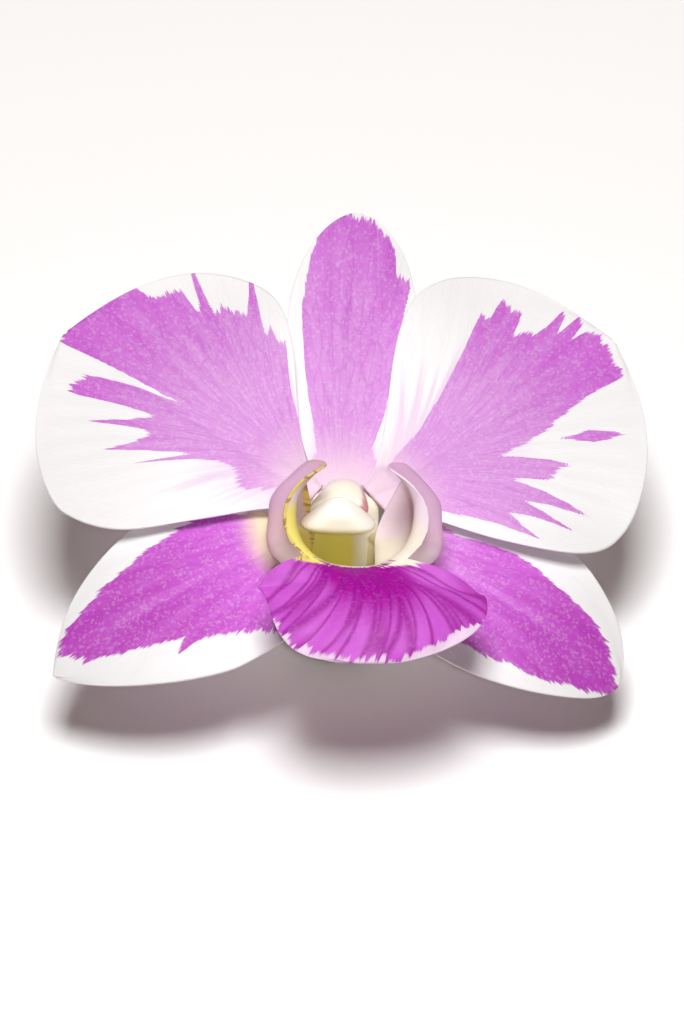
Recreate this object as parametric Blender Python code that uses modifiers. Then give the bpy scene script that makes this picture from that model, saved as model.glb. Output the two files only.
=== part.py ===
# A single orchid flower of the Dendrobium kind, as picked: it lies face up on the tip of its chin and
# on the cut end of its stalk.
#
# Every piece is worked out in the flower's own face frame, in millimetres: x to its right, y up along
# the dorsal sepal, z out of its face. An empty turns that frame as the flower lies on the table.
from math import asin, cos, pi, radians, sin, sqrt

import bmesh
import bpy
import numpy as np
from mathutils import Euler, Matrix, Vector

MM = 0.001

# How the flower lies: its face leans towards -Y and a little to +X, and the flat spot under the tip of
# its chin is centred on the world's origin.
FACE_LEAN = 9.0
FACE_ROLL = 3.5
CHIN_TIP = (0.0, -6.3, -17.4)

# Thin tissue and the clearance that pieces keep where they touch
BLADE_THICKNESS = 0.7
TOUCH = 0.3
SAME = 0.01
TINY = 1e-6


class Blade:
    """A petal or sepal: its outline about a straight midrib, and how its surface stands off the face.

    base: where the midrib starts; heading: its direction in the face, in degrees from +x
    length: of the midrib; upper, lower: greatest half widths on the dorsal and ventral side
    upper_at, lower_at: where along the midrib they lie; claw: half widths at the base
    swell: how slowly each side widens from the claw; blunt, tip: how round the far end is
    rise, curl: how far the tip stands forward, evenly and towards its end
    cup, slant: how the margins stand forward, both alike and the upper one over the lower one
    wave, waves, phase: the waved margin
    """

    def __init__(self, base, heading, length, upper, lower, upper_at, lower_at, claw, swell=(1.0, 1.0),
                 blunt=(2.0, 2.0), tip=1.7, rise=0.0, curl=0.0, cup=0.0, slant=0.0, wave=0.0, waves=1.5,
                 phase=0.0, hand=1):
        self.base = np.array(base)
        self.axis = np.array((cos(radians(heading)), sin(radians(heading))))
        self.across = hand * np.array((-self.axis[1], self.axis[0]))
        self.length = length
        self.sides = ((upper, upper_at, claw[0], swell[0], blunt[0]),
                      (lower, lower_at, claw[1], swell[1], blunt[1]))
        self.tip = tip
        self.rise, self.curl, self.cup, self.slant = rise, curl, cup, slant
        self.wave, self.waves, self.phase = wave, waves, phase

    def half_width(self, s, side):
        """The half width a fraction s along the midrib, on side 0 (upper) or 1 (lower)."""
        width, widest, claw, swell, blunt = self.sides[side]
        if s <= widest:
            return claw + (width - claw) * sin(pi / 2 * s / widest) ** swell
        fall = ((s - widest) / (1 - widest)) ** blunt
        return width * max(1 - fall, 0) ** (1 / self.tip)

    def point(self, s, w):
        """The surface at s along the midrib and w across, from -1, the lower margin, to 1, the upper."""
        side = 0 if w > 0 else 1
        across = w * self.half_width(s, side)
        margin = across / self.sides[side][0]
        x, y = self.base[:2] + self.length * s * self.axis + across * self.across
        z = self.base[2] + self.rise * s + self.curl * s ** 4
        z += self.cup * (across / 10) ** 2 + self.slant * across / 10 * ease(s, 0.0, 0.5)
        turn = self.waves * s + self.phase + 0.25 * np.sign(w)
        z += self.wave * margin ** 2 * ease(s, 0.1, 0.5) * sin(2 * pi * turn)
        return np.array((x, y, z))


def ease(x, start, end):
    """0 before start, 1 past end, and a smooth step between them."""
    t = min(max((x - start) / (end - start), 0.0), 1.0)
    return t * t * (3 - 2 * t)


def mix(a, b, t):
    return a + (b - a) * t


PETAL_RIGHT = Blade(
    base=(3.2, 1.2, 0.0), heading=38, length=32.8, upper=16.5, lower=19.5, upper_at=0.62, lower_at=0.50,
    claw=(2.0, 2.2), swell=(1.7, 1.3), blunt=(2.3, 1.8), tip=1.55,
    rise=0.8, curl=0.6, cup=0.3, slant=0.7, wave=0.7, waves=1.6, phase=0.1)
PETAL_LEFT = Blade(
    base=(-3.2, 0.9, 0.0), heading=144, length=32.8, upper=17.4, lower=18.3, upper_at=0.60, lower_at=0.60,
    claw=(2.0, 2.2), swell=(1.75, 1.4), blunt=(1.9, 1.5), tip=1.6,
    rise=0.8, curl=0.4, cup=0.3, slant=0.7, wave=0.7, waves=1.6, phase=0.45, hand=-1)
DORSAL_SEPAL = Blade(
    base=(0.0, 2.7, -1.2), heading=87.5, length=32.2, upper=6.9, lower=7.1, upper_at=0.62, lower_at=0.64,
    claw=(2.6, 2.6), blunt=(2.3, 2.3), tip=1.9, rise=1.0, curl=5.0, cup=-1.0, wave=0.25, waves=1.2)
LATERAL_RIGHT = Blade(
    base=(5.0, -3.0, -1.6), heading=-31, length=28.5, upper=10.4, lower=9.6, upper_at=0.41, lower_at=0.34,
    claw=(3.5, 8.8), blunt=(2.1, 2.0), tip=1.7, curl=-5.0, cup=-0.6, wave=0.35, waves=1.3, phase=0.2)
LATERAL_LEFT = Blade(
    base=(-5.0, -3.2, -1.6), heading=211.5, length=29.3, upper=10.0, lower=10.6, upper_at=0.39, lower_at=0.44,
    claw=(3.5, 8.8), blunt=(1.9, 1.8), tip=1.3, curl=-5.0, cup=-0.6, wave=0.35, waves=1.3, phase=0.6,
    hand=-1)

# The chin, a spur behind the lip: its walls are the lateral sepals' bases, its back the column's foot
CHIN_DEPTH = (-16.2, -4.5)
CHIN_HALF_WIDTH = (3.3, 5.4)
CHIN_FLOOR = (-8.9, -12.4)
CHIN_BACK_RISE = 0.9
CHIN_BACK_EDGE = 2.95
CHIN_SEAM = 0.5
CHIN_SHARE = 0.34
CHIN_TO_BLADE = 0.52
BLADE_START = 0.10
BLADE_STEP = 0.01

# The column from the chin's tip along its foot, round the bend at the stalk, to the anther: its middle
# line, half width and half thickness
COLUMN = (
    ((0.0, -6.4, -18.2), 1.9, 1.9),
    ((0.0, -6.3, -16.8), 2.3, 2.1),
    ((0.0, -5.3, -14.2), 2.3, 1.1),
    ((0.0, -3.7, -10.0), 2.3, 0.7),
    ((0.0, -1.7, -5.4), 2.3, 0.8),
    ((0.0, 0.3, -2.0), 2.4, 1.3),
    ((0.0, 1.2, 0.2), 2.1, 1.5),
    ((-0.1, -0.3, 2.4), 2.3, 1.6),
    ((-0.7, -3.6, 4.2), 3.5, 1.6),
)
COLUMN_BLUNT = 12.0
FOOT_POINTS = 6

# The lip's middle line from its claw, held by the foot's end, over the bend at the chin's mouth to the
# tip of its front lobe
LIP_LINE = (
    (0.0, -7.6, -14.0),
    (0.0, -9.2, -8.0),
    (0.0, -10.3, -2.5),
    (1.0, -10.4, 3.0),
    (0.8, -12.5, 6.1),
    (3.0, -16.1, 8.1),
    (2.9, -20.6, 8.4),
    (1.1, -24.6, 7.2),
)
# Across it the lip is an arc: its radius grows from the claw's to the trough's by one length along the
# line, spreads to the cup's between two more, narrows to the cup's mouth between two more, and turns over
# past the last into the front lobe. The cup is oval, in width and in height, and its floor is flattened.
LIP_CLAW_RADIUS = 3.1
LIP_TROUGH_RADIUS = 3.5
LIP_TROUGH_AT = 11.0
LIP_SPREAD = (12.3, 17.5)
LIP_CUP_RADIUS = 7.6
LIP_CUP_OVAL = (1.16, 0.86)
LIP_CUP_FLOOR = 0.7
LIP_MOUTH_RADIUS = 4.8
LIP_MOUTH_AT = (17.6, 21.0)
LIP_TURN_FROM = 18.7
LIP_FRONT_RADIUS = -60.0
# Its half width, measured over the curve: at the claw, along the trough, at the side lobes with their
# start, top and end, and how round the top is, at the sinus behind the front lobe, and at the start and
# the widest of that lobe
LIP_CLAW = 2.4
LIP_CLAW_END = 6.0
LIP_TROUGH = 6.0
LIP_SIDE_LOBE = 18.2
LIP_SIDE_LOBE_AT = (12.6, 17.4, 21.5)
LIP_SIDE_LOBE_ROUND = 0.35
LIP_SINUS = 5.4
LIP_FRONT_LOBE = 11.7
LIP_FRONT_LOBE_AT = (21.0, 24.8)
LIP_FRONT_BLUNT = 2.4
# The side lobes lean forward, more so further out along the arc, and their tops fold in over the column
LOBE_SWEEP = 1.0
LOBE_SWEEP_ARC = (4.5, 14.0)
LOBE_FOLD = 0.1
LOBE_FOLD_LIFT = (7.0, 10.5)
LOBE_LEAN_START = 13.0

# The anther cap is a blunt triangle: half width, half height and depth, how much narrower it is at the
# top, and how square its corners are
ANTHER_SIZE = (3.1, 1.9, 2.5)
ANTHER_TAPER = 0.6
ANTHER_SQUARE = 0.6
ANTHER_WALL = 0.6
ANTHER_SEAT = 0.4
POLLINIUM_SIZE = (0.36, 0.5, 0.5)
POLLINIUM_PLACES = (-1.3, -0.45, 0.45, 1.3)

# The ovary and stalk, from behind the column to the cut end on the table: middle line and radius
STALK = (
    ((0.0, 2.2, -3.6), 1.5),
    ((0.0, 3.2, -6.6), 1.35),
    ((0.4, 5.2, -10.4), 1.15),
    ((1.8, 8.6, -14.2), 1.0),
    ((4.2, 12.6, -17.25), 0.95),
    ((7.2, 16.6, -19.64), 1.0),
)


def spline(points, t):
    """A point on the smooth curve through points, at t from 0 to 1 by their number."""
    p = np.array(points, float)
    p = np.vstack((2 * p[0] - p[1], p, 2 * p[-1] - p[-2]))
    x = min(max(t, 0.0), 1.0) * (len(p) - 3)
    i = min(int(x), len(p) - 4)
    f = x - i
    a, b, c, d = p[i:i + 4]
    square, cube = 2 * a - 5 * b + 4 * c - d, 3 * b - a - 3 * c + d
    return 0.5 * (2 * b + (c - a) * f + square * f ** 2 + cube * f ** 3)


class Line:
    """A smooth curve read by its length; what its points hold past their place goes along with it."""

    STEPS = 400
    LOOK = 0.2

    def __init__(self, points):
        steps = np.array([spline(points, k / self.STEPS) for k in range(self.STEPS + 1)])
        gaps = np.linalg.norm(np.diff(steps, axis=0)[:, :3], axis=1)
        self.columns = steps.T
        self.lengths = np.concatenate(((0.0,), np.cumsum(gaps)))
        self.length = self.lengths[-1]

    def at(self, length):
        return np.array([np.interp(length, self.lengths, column) for column in self.columns])

    def frame(self, length):
        """What the line holds at a length, the direction to the right, and the one up out of the line."""
        ahead, behind = min(length + self.LOOK, self.length), max(length - self.LOOK, 0.0)
        along = (self.at(ahead) - self.at(behind))[:3]
        right = np.array((1.0, 0.0, 0.0))
        up = np.cross(along, right)
        return self.at(length), right, up / np.linalg.norm(up)


LIP = Line(LIP_LINE)


def lip_radius(length):
    """The radius of the lip's trough and cup."""
    trough = mix(LIP_CLAW_RADIUS, LIP_TROUGH_RADIUS, ease(length, 0.0, LIP_TROUGH_AT))
    cup = mix(trough, LIP_CUP_RADIUS, ease(length, *LIP_SPREAD))
    return mix(cup, LIP_MOUTH_RADIUS, ease(length, *LIP_MOUTH_AT))


def rounded(back):
    """A straight slope that starts out level, as the rear edge of a side lobe does from its top."""
    return sqrt(back ** 2 + LIP_SIDE_LOBE_ROUND ** 2) - LIP_SIDE_LOBE_ROUND


def side_lobe(length):
    """How far the side lobes stand out at a length, from 0 at their two ends to 1 at the top."""
    start, top, end = LIP_SIDE_LOBE_AT
    if length < top:
        back = min((top - length) / (top - start), 1.0)
        return 1 - rounded(back) / rounded(1.0)
    return sqrt(max(1 - ((length - top) / (end - top)) ** 2, 0.0))


def lip_half_width(length):
    """Half the lip's width, measured over its curved surface."""
    start, _, end = LIP_SIDE_LOBE_AT
    width = mix(LIP_CLAW, LIP_TROUGH, ease(length, 0.0, LIP_CLAW_END))
    width = mix(width, LIP_SINUS, ease(length, start, end))
    width = mix(width, LIP_FRONT_LOBE, ease(length, *LIP_FRONT_LOBE_AT))
    widest = LIP_FRONT_LOBE_AT[1]
    past = max((length - widest) / (LIP.length - widest), 0.0)
    width *= max(1 - past ** LIP_FRONT_BLUNT, 0.0) ** (1 / LIP_FRONT_BLUNT)
    return mix(width, LIP_SIDE_LOBE, side_lobe(length))


def lip_point(s, w):
    """The lip's surface at s along and w across, from -1 to 1: a trough, a cup of side lobes, a fan."""
    _, top, end = LIP_SIDE_LOBE_AT
    length = s * LIP.length
    middle, right, up = LIP.frame(length)
    arc = w * lip_half_width(length)
    turned = ease(length, LIP_TURN_FROM, LIP_FRONT_LOBE_AT[1])
    bend = mix(1 / lip_radius(length), 1 / LIP_FRONT_RADIUS, turned)
    angle = bend * arc
    flat = abs(angle) < TINY
    out = arc if flat else sin(angle) / bend
    lift = 0.0 if flat else (1 - cos(angle)) / bend
    lean = ease(length, LOBE_LEAN_START, top) * (1 - ease(length, top, end))
    out *= mix(1.0, LIP_CUP_OVAL[0], lean)
    out *= 1 + LIP_CUP_FLOOR * max(cos(angle), 0.0) ** 2 * lean
    lift *= mix(1.0, LIP_CUP_OVAL[1], lean)
    out *= 1 - LOBE_FOLD * ease(lift, *LOBE_FOLD_LIFT) * lean
    sweep = LOBE_SWEEP * ease(abs(arc), *LOBE_SWEEP_ARC) * lean
    return middle + out * right + lift * up + sweep * np.cross(right, up)


def foot_height(depth):
    """The height of the column foot's middle line at a depth behind the face."""
    line = sorted((p[2], p[1]) for p, _, _ in COLUMN[:FOOT_POINTS])
    return float(np.interp(depth, [z for z, _ in line], [y for _, y in line]))


def chin_point(depth, q, hand):
    """The chin's wall at a depth, from q = 0 beside the foot round to q = 1 at the seam underneath."""
    share = (depth - CHIN_DEPTH[0]) / (CHIN_DEPTH[1] - CHIN_DEPTH[0])
    half_width = mix(*CHIN_HALF_WIDTH, share)
    top = foot_height(depth) + CHIN_BACK_RISE
    floor = mix(*CHIN_FLOOR, share)
    start, end = asin(CHIN_BACK_EDGE / half_width), pi - asin(CHIN_SEAM / half_width)
    angle = mix(start, end, q)
    y = (top + floor) / 2 + (top - floor) / 2 * cos(angle)
    return np.array((hand * half_width * sin(angle), y, depth))


def lateral_point(blade, hand, s, w):
    """A lateral sepal from the chin's tip, along the chin's wall, round its mouth and out to the tip."""
    q = (1 - w) / 2
    if s <= CHIN_SHARE:
        return chin_point(mix(*CHIN_DEPTH, s / CHIN_SHARE), q, hand)
    if s >= CHIN_TO_BLADE:
        return blade.point(mix(BLADE_START, 1.0, (s - CHIN_TO_BLADE) / (1 - CHIN_TO_BLADE)), w)
    start, end = chin_point(CHIN_DEPTH[1], q, hand), blade.point(BLADE_START, w)
    reach = np.linalg.norm(end - start)
    forward = np.array((0.0, 0.0, reach))
    outward = blade.point(BLADE_START + BLADE_STEP, w) - end
    outward *= reach / np.linalg.norm(outward)
    t = (s - CHIN_SHARE) / (CHIN_TO_BLADE - CHIN_SHARE)
    return ((1 + 2 * t) * (1 - t) ** 2 * start + t * (1 - t) ** 2 * forward
            + t * t * (3 - 2 * t) * end + t * t * (t - 1) * outward)


def clear_scene():
    for thing in list(bpy.data.objects):
        bpy.data.objects.remove(thing, do_unlink=True)


def material(name, colour, roughness=0.5):
    """A plain Principled material."""
    made = bpy.data.materials.new(name)
    made.use_nodes = True
    shader = made.node_tree.nodes["Principled BSDF"]
    shader.inputs["Base Color"].default_value = (*colour, 1.0)
    shader.inputs["Roughness"].default_value = roughness
    shader.inputs["Metallic"].default_value = 0.0
    return made


def add_object(name, bm, mat, collection, face):
    """Turns a bmesh in face millimetres into a smooth-shaded object under the face's empty."""
    bmesh.ops.scale(bm, vec=Vector((MM, MM, MM)), verts=bm.verts)
    mesh = bpy.data.meshes.new(name)
    bm.to_mesh(mesh)
    bm.free()
    mesh.shade_smooth()
    made = bpy.data.objects.new(name, mesh)
    made.parent = face
    mesh.materials.append(mat)
    collection.objects.link(made)
    return made


def add_sheet(name, surface, rows, columns, mat, collection, face, easing=1.5):
    """A thin blade: a grid laid on surface(s, w), its tip drawn together, split and given thickness."""
    bm = bmesh.new()
    bmesh.ops.create_grid(bm, x_segments=rows, y_segments=columns, size=1.0)
    for vert in bm.verts:
        s = 1 - ((1 - vert.co.x) / 2) ** easing
        vert.co = surface(s, vert.co.y)
    bmesh.ops.remove_doubles(bm, verts=bm.verts, dist=SAME)
    bmesh.ops.triangulate(bm, faces=bm.faces, quad_method="SHORT_EDGE")
    made = add_object(name, bm, mat, collection, face)
    thickness = made.modifiers.new("Thickness", "SOLIDIFY")
    thickness.thickness = BLADE_THICKNESS * MM
    thickness.offset = 0.0
    return made


def add_body(name, surface, around, along, mat, collection, face, cut=None):
    """A solid body: a sphere whose latitudes are laid along surface(t, angle), cut flat by a plane."""
    bm = bmesh.new()
    bmesh.ops.create_uvsphere(bm, u_segments=around, v_segments=along, radius=1.0)
    for vert in bm.verts:
        vert.co = surface(*polar(vert.co))
    if cut:
        edges = bmesh.ops.bisect_plane(
            bm, geom=bm.verts[:] + bm.edges[:] + bm.faces[:], plane_co=cut[0], plane_no=cut[1],
            clear_inner=True)["geom_cut"]
        bmesh.ops.contextual_create(bm, geom=[e for e in edges if isinstance(e, bmesh.types.BMEdge)])
    bmesh.ops.recalc_face_normals(bm, faces=bm.faces)
    return add_object(name, bm, mat, collection, face)


def polar(co):
    """The share of the way from the south to the north pole, and the angle round the axis."""
    return (1 + co.z) / 2, np.arctan2(co.y, co.x)


COLUMN_LINE = Line([(*place, width, thick) for place, width, thick in COLUMN])


def column_point(t, angle):
    length = COLUMN_LINE.length * t
    place, right, up = COLUMN_LINE.frame(length)
    width, thick = place[3:] * max(1 - abs(2 * t - 1) ** COLUMN_BLUNT, 0.0) ** (1 / COLUMN_BLUNT)
    return place[:3] + right * width * cos(angle) + up * thick * sin(angle)


def column_end():
    """The middle of the column's end, where the anther sits, and the directions right, up and on."""
    place, right, up = COLUMN_LINE.frame(COLUMN_LINE.length)
    return place[:3], right, up, np.cross(right, up)


def squared(x):
    """A coordinate of the unit sphere moved out towards the box round it."""
    return np.sign(x) * abs(x) ** ANTHER_SQUARE


def add_anther(mat, collection, face):
    """The anther cap, an open dome over the column's end."""
    end, right, up, along = column_end()
    bm = bmesh.new()
    bmesh.ops.create_uvsphere(bm, u_segments=16, v_segments=12, radius=1.0)
    below = [v for v in bm.verts if v.co.z < -TINY]
    bmesh.ops.delete(bm, geom=below, context="VERTS")
    half_x, half_y, deep = ANTHER_SIZE
    for vert in bm.verts:
        x, y, z = vert.co
        x, y = squared(x), squared(y)
        wide = half_x * (1 - ANTHER_TAPER * y)
        vert.co = end + right * wide * x + up * half_y * y + along * (deep * z + ANTHER_SEAT)
    bmesh.ops.recalc_face_normals(bm, faces=bm.faces)
    made = add_object("anther_cap", bm, mat, collection, face)
    wall = made.modifiers.new("Wall", "SOLIDIFY")
    wall.thickness = ANTHER_WALL * MM
    wall.offset = -1.0
    return made


def add_pollinia(mat, collection, face):
    """Four waxy pollen masses in two pairs, on the column's end under the cap."""
    end, right, up, along = column_end()
    half_x, half_y, deep = POLLINIUM_SIZE
    for k, x in enumerate(POLLINIUM_PLACES):
        middle = end + right * x + along * (deep + TOUCH)
        bm = bmesh.new()
        bmesh.ops.create_uvsphere(bm, u_segments=8, v_segments=6, radius=1.0)
        for vert in bm.verts:
            u, v, z = vert.co
            vert.co = middle + right * half_x * u + up * half_y * v + along * deep * z
        add_object(f"pollinium_{k + 1}", bm, mat, collection, face)


def add_stalk(mat, collection, face):
    """The ovary and its stalk, a tube along a curve with its own radius at each point."""
    data = bpy.data.curves.new("pedicel", "CURVE")
    data.dimensions = "3D"
    data.bevel_depth = MM
    data.bevel_resolution = 3
    data.use_fill_caps = True
    line = data.splines.new("POLY")
    count = 15
    line.points.add(count - 1)
    for k, point in enumerate(line.points):
        x, y, z, radius = spline([(*place, r) for place, r in STALK], k / (count - 1))
        point.co = (x * MM, y * MM, z * MM, 1.0)
        point.radius = radius
    made = bpy.data.objects.new("pedicel", data)
    made.parent = face
    data.materials.append(mat)
    collection.objects.link(made)
    return made


def add_face(collection):
    """The empty that holds the face frame, with the chin's tip on the world's origin."""
    turn = Euler((radians(FACE_LEAN), 0, 0)).to_matrix() @ Euler((0, radians(FACE_ROLL), 0)).to_matrix()
    face = bpy.data.objects.new("face", None)
    face.empty_display_size = 10 * MM
    face.matrix_world = Matrix.Translation(-(turn @ Vector(CHIN_TIP)) * MM) @ turn.to_4x4()
    collection.objects.link(face)
    return face, turn


def main():
    clear_scene()
    collection = bpy.data.collections.new("orchid flower")
    bpy.context.scene.collection.children.link(collection)
    face, turn = add_face(collection)

    purple = material("petal purple and white", (0.60, 0.22, 0.68), 0.55)
    lilac = material("lip magenta", (0.45, 0.04, 0.52), 0.5)
    cream = material("column cream", (0.90, 0.84, 0.70), 0.45)
    yellow = material("pollen yellow", (0.85, 0.62, 0.10), 0.4)
    green = material("stalk pale green", (0.62, 0.68, 0.42), 0.5)

    add_sheet("petal_right", PETAL_RIGHT.point, 16, 14, purple, collection, face)
    add_sheet("petal_left", PETAL_LEFT.point, 16, 14, purple, collection, face)
    add_sheet("dorsal_sepal", DORSAL_SEPAL.point, 16, 8, purple, collection, face)
    for name, blade, hand in (("right", LATERAL_RIGHT, 1), ("left", LATERAL_LEFT, -1)):
        add_sheet(f"lateral_sepal_{name}", lambda s, w: lateral_point(blade, hand, s, w), 22, 10, purple,
                  collection, face, easing=1.2)
    add_sheet("labellum", lip_point, 40, 24, lilac, collection, face, easing=1.0)

    table = turn.transposed() @ Vector((0, 0, 1))
    add_body("column", column_point, 16, 24, cream, collection, face, cut=(Vector(CHIN_TIP), table))
    add_anther(cream, collection, face)
    add_pollinia(yellow, collection, face)
    add_stalk(green, collection, face)


main()
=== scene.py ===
# The looks of the orchid flower: each piece as a finer mesh where its solid lies, with its own finish.
#
# Pieces are worked out in the flower's face frame, in millimetres: x to its right, y up along the dorsal
# sepal, z out of its face. to_world turns that frame as the flower lies on the table.
from functools import lru_cache
from math import asin, cos, degrees, pi, radians, sin, sqrt

import bmesh
import bpy
import numpy as np
from mathutils import Euler, Matrix, Vector, noise


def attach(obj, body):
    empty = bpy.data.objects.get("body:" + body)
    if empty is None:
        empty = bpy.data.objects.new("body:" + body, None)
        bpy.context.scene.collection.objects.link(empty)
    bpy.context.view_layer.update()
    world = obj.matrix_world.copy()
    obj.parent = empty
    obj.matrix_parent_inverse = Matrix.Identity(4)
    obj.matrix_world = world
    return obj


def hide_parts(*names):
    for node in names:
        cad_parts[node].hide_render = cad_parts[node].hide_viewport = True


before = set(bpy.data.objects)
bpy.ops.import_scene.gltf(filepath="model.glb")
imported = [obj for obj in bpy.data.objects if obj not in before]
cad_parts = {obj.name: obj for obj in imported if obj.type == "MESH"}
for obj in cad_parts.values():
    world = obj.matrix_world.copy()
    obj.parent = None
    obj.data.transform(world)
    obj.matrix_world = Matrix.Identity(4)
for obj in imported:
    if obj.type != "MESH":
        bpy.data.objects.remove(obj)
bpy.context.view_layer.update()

MM = 0.001
FACE_LEAN = 9.0
FACE_ROLL = 3.5
CHIN_TIP = (0.0, -6.3, -17.4)
SAME = 0.002
TINY = 1e-6


# ---- shapes that the solids have too -------------------------------------------------------------


def ease(x, start, end):
    """0 before start, 1 past end, and a smooth step between them."""
    t = min(max((x - start) / (end - start), 0.0), 1.0)
    return t * t * (3 - 2 * t)


def mix(a, b, t):
    return a + (b - a) * t


class Blade:
    """A petal or sepal: its outline about a straight midrib, and how its surface stands off the face."""

    def __init__(self, base, heading, length, upper, lower, upper_at, lower_at, claw, swell=(1.0, 1.0),
                 blunt=(2.0, 2.0), tip=1.7, rise=0.0, curl=0.0, cup=0.0, slant=0.0, wave=0.0, waves=1.5,
                 phase=0.0, hand=1):
        self.base = np.array(base)
        self.axis = np.array((cos(radians(heading)), sin(radians(heading))))
        self.across = hand * np.array((-self.axis[1], self.axis[0]))
        self.length = length
        self.sides = ((upper, upper_at, claw[0], swell[0], blunt[0]),
                      (lower, lower_at, claw[1], swell[1], blunt[1]))
        self.tip = tip
        self.rise, self.curl, self.cup, self.slant = rise, curl, cup, slant
        self.wave, self.waves, self.phase = wave, waves, phase

    def half_width(self, s, side):
        """The half width a fraction s along the midrib, on side 0 (upper) or 1 (lower)."""
        width, widest, claw, swell, blunt = self.sides[side]
        if s <= widest:
            return claw + (width - claw) * sin(pi / 2 * s / widest) ** swell
        fall = ((s - widest) / (1 - widest)) ** blunt
        return width * max(1 - fall, 0) ** (1 / self.tip)

    def flat(self, s, w):
        """Where the surface at s, w lies along the midrib and across it."""
        return self.length * s, w * self.half_width(s, 0 if w > 0 else 1)

    def point(self, s, w):
        """The surface at s along the midrib and w across, from -1, the lower margin, to 1, the upper."""
        along, across = self.flat(s, w)
        margin = across / self.sides[0 if w > 0 else 1][0]
        x, y = self.base[:2] + along * self.axis + across * self.across
        z = self.base[2] + self.rise * s + self.curl * s ** 4
        z += self.cup * (across / 10) ** 2 + self.slant * across / 10 * ease(s, 0.0, 0.5)
        turn = self.waves * s + self.phase + 0.25 * np.sign(w)
        z += self.wave * margin ** 2 * ease(s, 0.1, 0.5) * sin(2 * pi * turn)
        return np.array((x, y, z))


PETAL_RIGHT = Blade(
    base=(3.2, 1.2, 0.0), heading=38, length=32.8, upper=16.5, lower=19.5, upper_at=0.62, lower_at=0.50,
    claw=(2.0, 2.2), swell=(1.7, 1.3), blunt=(2.3, 1.8), tip=1.55,
    rise=0.8, curl=0.6, cup=0.3, slant=0.7, wave=0.7, waves=1.6, phase=0.1)
PETAL_LEFT = Blade(
    base=(-3.2, 0.9, 0.0), heading=144, length=32.8, upper=17.4, lower=18.3, upper_at=0.60, lower_at=0.60,
    claw=(2.0, 2.2), swell=(1.75, 1.4), blunt=(1.9, 1.5), tip=1.6,
    rise=0.8, curl=0.4, cup=0.3, slant=0.7, wave=0.7, waves=1.6, phase=0.45, hand=-1)
DORSAL_SEPAL = Blade(
    base=(0.0, 2.7, -1.2), heading=87.5, length=32.2, upper=6.9, lower=7.1, upper_at=0.62, lower_at=0.64,
    claw=(2.6, 2.6), blunt=(2.3, 2.3), tip=1.9, rise=1.0, curl=5.0, cup=-1.0, wave=0.25, waves=1.2)
LATERAL_RIGHT = Blade(
    base=(5.0, -3.0, -1.6), heading=-31, length=28.5, upper=10.4, lower=9.6, upper_at=0.41, lower_at=0.34,
    claw=(3.5, 8.8), blunt=(2.1, 2.0), tip=1.7, curl=-5.0, cup=-0.6, wave=0.35, waves=1.3, phase=0.2)
LATERAL_LEFT = Blade(
    base=(-5.0, -3.2, -1.6), heading=211.5, length=29.3, upper=10.0, lower=10.6, upper_at=0.39, lower_at=0.44,
    claw=(3.5, 8.8), blunt=(1.9, 1.8), tip=1.3, curl=-5.0, cup=-0.6, wave=0.35, waves=1.3, phase=0.6,
    hand=-1)

CHIN_DEPTH = (-16.2, -4.5)
CHIN_HALF_WIDTH = (3.3, 5.4)
CHIN_FLOOR = (-8.9, -12.4)
CHIN_BACK_RISE = 0.9
CHIN_BACK_EDGE = 2.95
CHIN_SEAM = 0.5
CHIN_SHARE = 0.34
CHIN_TO_BLADE = 0.52
BLADE_START = 0.10
BLADE_STEP = 0.01

# The column's middle line, half width and half thickness, from the tip of its foot to the anther
COLUMN = (
    ((0.0, -6.4, -18.2), 1.9, 1.9),
    ((0.0, -6.3, -16.8), 2.3, 2.1),
    ((0.0, -5.3, -14.2), 2.3, 1.1),
    ((0.0, -3.7, -10.0), 2.3, 0.7),
    ((0.0, -1.7, -5.4), 2.3, 0.8),
    ((0.0, 0.3, -2.0), 2.4, 1.3),
    ((0.0, 1.2, 0.2), 2.1, 1.5),
    ((-0.1, -0.3, 2.4), 2.3, 1.6),
    ((-0.7, -3.6, 4.2), 3.5, 1.6),
)
COLUMN_BLUNT = 12.0
FOOT_POINTS = 6

# The lip's middle line from its claw to the tip of its front lobe, and its arc and half widths along it
LIP_LINE = (
    (0.0, -7.6, -14.0),
    (0.0, -9.2, -8.0),
    (0.0, -10.3, -2.5),
    (1.0, -10.4, 3.0),
    (0.8, -12.5, 6.1),
    (3.0, -16.1, 8.1),
    (2.9, -20.6, 8.4),
    (1.1, -24.6, 7.2),
)
LIP_CLAW_RADIUS = 3.1
LIP_TROUGH_RADIUS = 3.5
LIP_TROUGH_AT = 11.0
LIP_SPREAD = (12.3, 17.5)
LIP_CUP_RADIUS = 7.6
LIP_CUP_OVAL = (1.16, 0.86)
LIP_CUP_FLOOR = 0.7
LIP_MOUTH_RADIUS = 4.8
LIP_MOUTH_AT = (17.6, 21.0)
LIP_TURN_FROM = 18.7
LIP_FRONT_RADIUS = -60.0
LIP_CLAW = 2.4
LIP_CLAW_END = 6.0
LIP_TROUGH = 6.0
LIP_SIDE_LOBE = 18.2
LIP_SIDE_LOBE_AT = (12.6, 17.4, 21.5)
LIP_SIDE_LOBE_ROUND = 0.35
LIP_SINUS = 5.4
LIP_FRONT_LOBE = 11.7
LIP_FRONT_LOBE_AT = (21.0, 24.8)
LIP_FRONT_BLUNT = 2.4
LOBE_SWEEP = 1.0
LOBE_SWEEP_ARC = (4.5, 14.0)
LOBE_FOLD = 0.1
LOBE_FOLD_LIFT = (7.0, 10.5)
LOBE_LEAN_START = 13.0

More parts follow.
